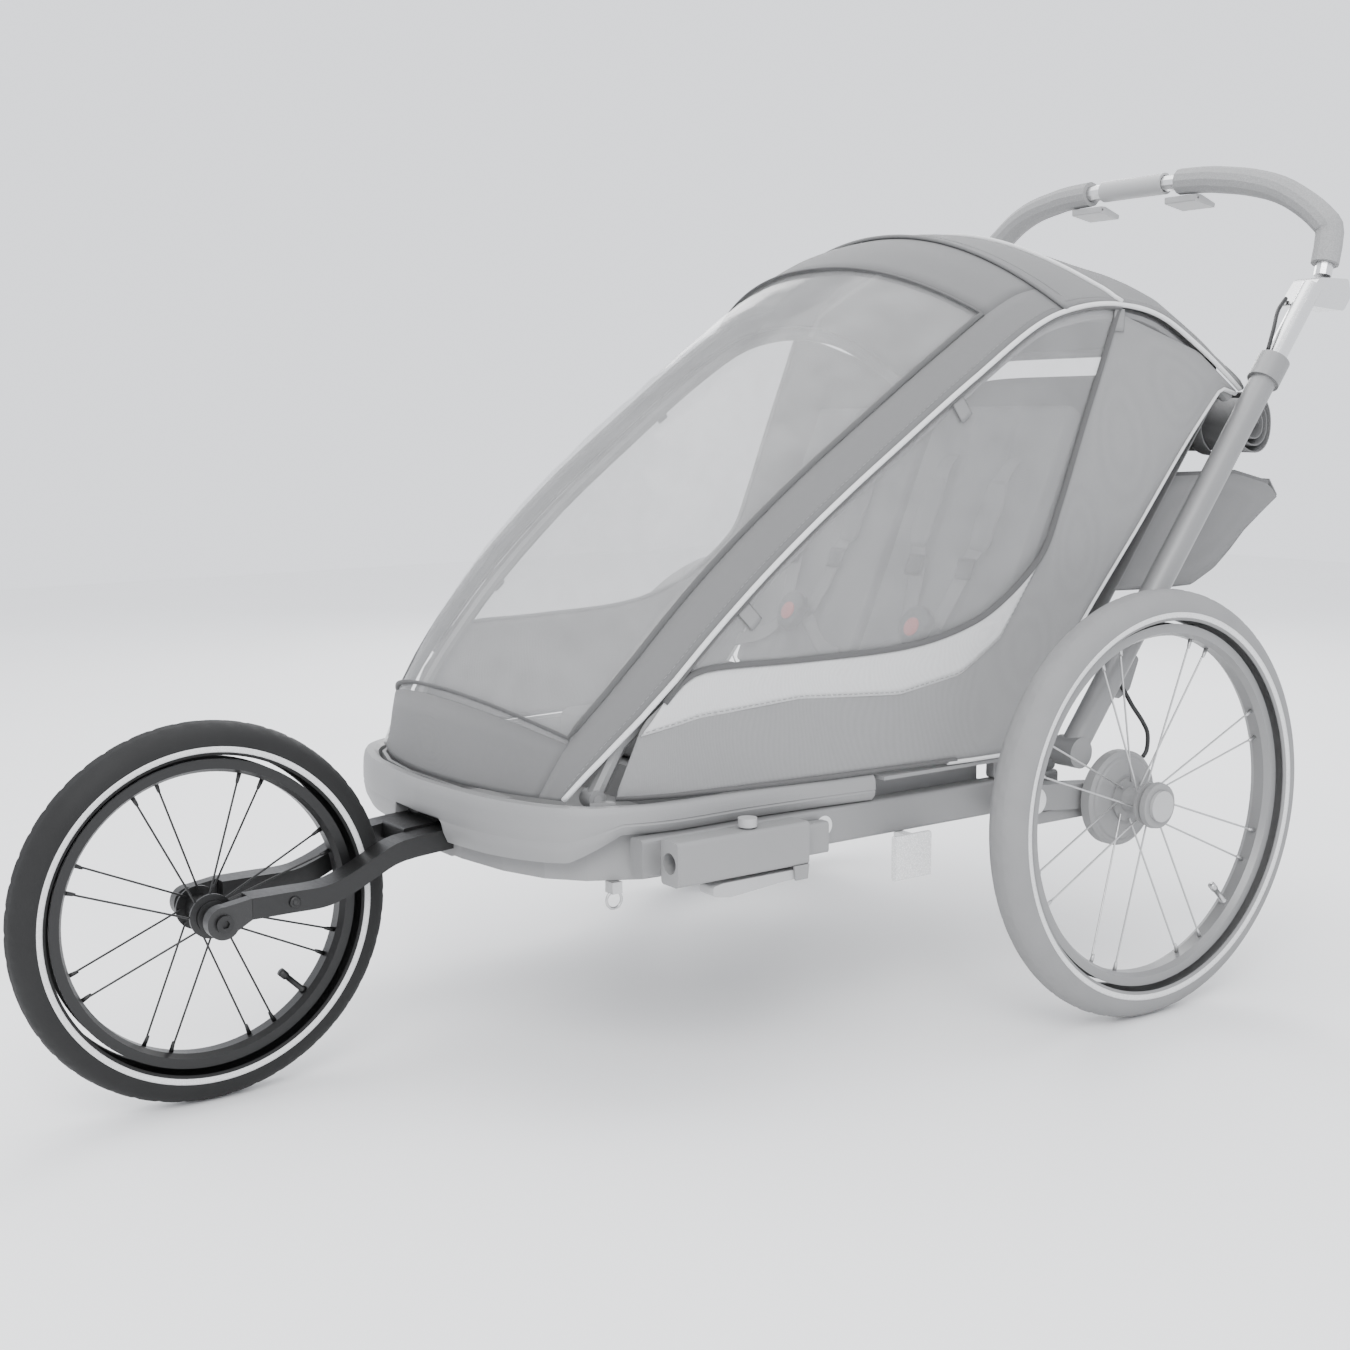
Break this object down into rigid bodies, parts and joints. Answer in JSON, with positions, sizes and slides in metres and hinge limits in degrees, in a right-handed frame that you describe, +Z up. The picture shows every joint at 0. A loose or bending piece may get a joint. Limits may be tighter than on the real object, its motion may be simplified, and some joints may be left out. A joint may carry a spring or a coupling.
{
  "type": "child bicycle trailer",
  "caption": "Two-seat child bicycle trailer with fabric cabin, folding hoops and push bar, rear suspension and drum brakes, side tow socket, and a front jogging wheel on a fork arm.",
  "frame": {"origin": "on the floor, under the middle of the trailer's length and width", "axes": "+Z up, -Y forward towards the jogging wheel, +X to the trailer's left"},
  "size_m": [0.836, 1.6123, 1.0221],
  "materials": {
    "frame_grey": "satin grey powder coat",
    "silver_tube": "brushed anodised aluminium",
    "plain_steel": "zinc plated steel",
    "spoke_steel": "drawn stainless steel",
    "grey_plastic": "fine moulded texture",
    "light_plastic": "smooth moulded light grey",
    "black_plastic": "fine moulded texture",
    "black_metal": "satin black anodised",
    "grey_tyre": "matt rubber with a reflective stripe",
    "black_tyre": "matt rubber with a reflective stripe",
    "cover_fabric": "coated plain weave",
    "side_fabric": "coated plain weave with a light band",
    "seat_fabric": "padded plain weave",
    "webbing": "woven webbing",
    "window_film": "clear flexible film",
    "foam_grip": "closed cell foam",
    "reflector_lens": "ribbed clear plastic"
  },
  "bodies": {
    "root": {"bumper": "grey_plastic", "floor_tray": "grey_plastic", "side_rails": "frame_grey", "cross_tubes": "silver_tube", "pivot_brackets": "grey_plastic", "hitch_box": "grey_plastic", "tie_rings": "plain_steel", "reflectors": "reflector_lens", "jog_receiver": "grey_plastic", "seat_base": "seat_fabric", "side_panel_left": "side_fabric", "side_panel_right": "side_fabric", "side_window_left": "window_film", "side_window_right": "window_film", "rear_panel": "cover_fabric", "jog_arm": "black_metal", "jog_dropouts": "black_plastic", "jog_axle": "black_metal", "brake_cable_left": "black_plastic", "brake_cable_right": "black_plastic"},
    "jog_wheel": {"jog_tyre": "black_tyre", "jog_rim": "black_metal", "jog_spokes": "black_metal", "jog_hub": "black_metal"},
    "rear_frame": {"rear_frame": "frame_grey", "frame_boots": "grey_plastic"},
    "handle": {"handle_tubes": "silver_tube", "handle_bar": "silver_tube", "handle_grips": "foam_grip", "centre_sleeve": "light_plastic", "handle_cables": "black_plastic"},
    "hoop": {"hoop_tubes": "frame_grey", "roof_bows": "frame_grey", "front_cover": "cover_fabric", "front_window": "window_film", "roof_cover": "cover_fabric", "cover_roll": "cover_fabric", "rear_bag": "cover_fabric"},
    "hitch_lever": {"hitch_lever": "light_plastic"},
    "hitch_knob": {"hitch_knob": "light_plastic"},
    "swing_arm_left": {"swing_arm_left": "grey_plastic", "axle_left": "plain_steel"},
    "wheel_left": {"tyre_left": "grey_tyre", "rim_left": "frame_grey", "spokes_left": "spoke_steel", "hub_left": "grey_plastic", "brake_drum_left": "grey_plastic"},
    "hub_button_left": {"hub_button_left": "light_plastic"},
    "paddle_left": {"paddle_left": "light_plastic"},
    "swing_arm_right": {"swing_arm_right": "grey_plastic", "axle_right": "plain_steel"},
    "wheel_right": {"tyre_right": "grey_tyre", "rim_right": "frame_grey", "spokes_right": "spoke_steel", "hub_right": "grey_plastic", "brake_drum_right": "grey_plastic"},
    "hub_button_right": {"hub_button_right": "light_plastic"},
    "paddle_right": {"paddle_right": "light_plastic"},
    "seat_back": {"seat_back": "seat_fabric", "harness": "webbing"}
  },
  "joints": [
    {"name": "rear_fold", "type": "hinge", "parent": "root", "child": "rear_frame", "pos_m": [0, 0.31781, 0.306], "axis": [1, 0, 0], "range_deg": [0, 114], "deforming": ["side_panel_left", "side_panel_right", "side_window_left", "side_window_right", "rear_panel", "brake_cable_left", "brake_cable_right"]},
    {"name": "hoop_fold", "type": "hinge", "parent": "root", "child": "hoop", "pos_m": [0, -0.26819, 0.308], "axis": [1, 0, 0], "range_deg": [-25.2, 0], "deforming": ["side_panel_left", "side_panel_right", "side_window_left", "side_window_right", "rear_panel"]},
    {"name": "seat_fold", "type": "hinge", "parent": "root", "child": "seat_back", "pos_m": [0, 0.25181, 0.3413], "axis": [1, 0, 0], "range_deg": [-54.2, 0]},
    {"name": "handlebar_slide", "type": "slide", "parent": "rear_frame", "child": "handle", "axis": [0, 0.6088, 0.7934], "range_m": [-0.07, 0.04], "deforming": ["handle_cables"]},
    {"name": "jogger_wheel_spin", "type": "hinge", "parent": "root", "child": "jog_wheel", "pos_m": [0, -0.60619, 0.198], "axis": [1, 0, 0], "continuous": true},
    {"name": "hitch_lever_turn", "type": "hinge", "parent": "root", "child": "hitch_lever", "pos_m": [0.2993, -0.07619, 0.221], "axis": [1, 0, 0], "range_deg": [0, 25], "stiffness_Nm_per_rad": 0.6, "springref_deg": -11.46},
    {"name": "hitch_knob_lift", "type": "slide", "parent": "root", "child": "hitch_knob", "axis": [0, 0, 1], "range_m": [0, 0.008], "stiffness_N_per_m": 400, "springref_m": -0.004},
    {"name": "suspension_left", "type": "hinge", "parent": "root", "child": "swing_arm_left", "pos_m": [0.321, 0.24881, 0.258], "axis": [1, 0, 0], "range_deg": [0, 5], "stiffness_Nm_per_rad": 250, "springref_deg": -8.02, "deforming": ["brake_cable_left"]},
    {"name": "wheel_left_spin", "type": "hinge", "parent": "swing_arm_left", "child": "wheel_left", "pos_m": [0.394, 0.37381, 0.2485], "axis": [1, 0, 0], "continuous": true},
    {"name": "hub_button_left_push", "type": "slide", "parent": "wheel_left", "child": "hub_button_left", "axis": [-1, 0, 0], "range_m": [0, 0.003], "stiffness_N_per_m": 600, "springref_m": -0.002},
    {"name": "paddle_left_turn", "type": "hinge", "parent": "handle", "child": "paddle_left", "pos_m": [0.084, 0.77268, 0.98104], "axis": [1, 0, 0], "range_deg": [0, 12], "stiffness_Nm_per_rad": 0.5, "springref_deg": -8.59},
    {"name": "suspension_right", "type": "hinge", "parent": "root", "child": "swing_arm_right", "pos_m": [-0.321, 0.24881, 0.258], "axis": [1, 0, 0], "range_deg": [0, 5], "stiffness_Nm_per_rad": 250, "springref_deg": -8.02, "deforming": ["brake_cable_right"]},
    {"name": "wheel_right_spin", "type": "hinge", "parent": "swing_arm_right", "child": "wheel_right", "pos_m": [-0.394, 0.37381, 0.2485], "axis": [1, 0, 0], "continuous": true},
    {"name": "hub_button_right_push", "type": "slide", "parent": "wheel_right", "child": "hub_button_right", "axis": [1, 0, 0], "range_m": [0, 0.003], "stiffness_N_per_m": 600, "springref_m": -0.002},
    {"name": "paddle_right_turn", "type": "hinge", "parent": "handle", "child": "paddle_right", "pos_m": [-0.084, 0.77268, 0.98104], "axis": [1, 0, 0], "range_deg": [0, 12], "stiffness_Nm_per_rad": 0.5, "springref_deg": -8.59}
  ],
  "couplings": [
    {"joint": "hoop_fold", "follows": "rear_fold", "ratio": -0.22},
    {"joint": "seat_fold", "follows": "rear_fold", "ratio": -0.475}
  ]
}
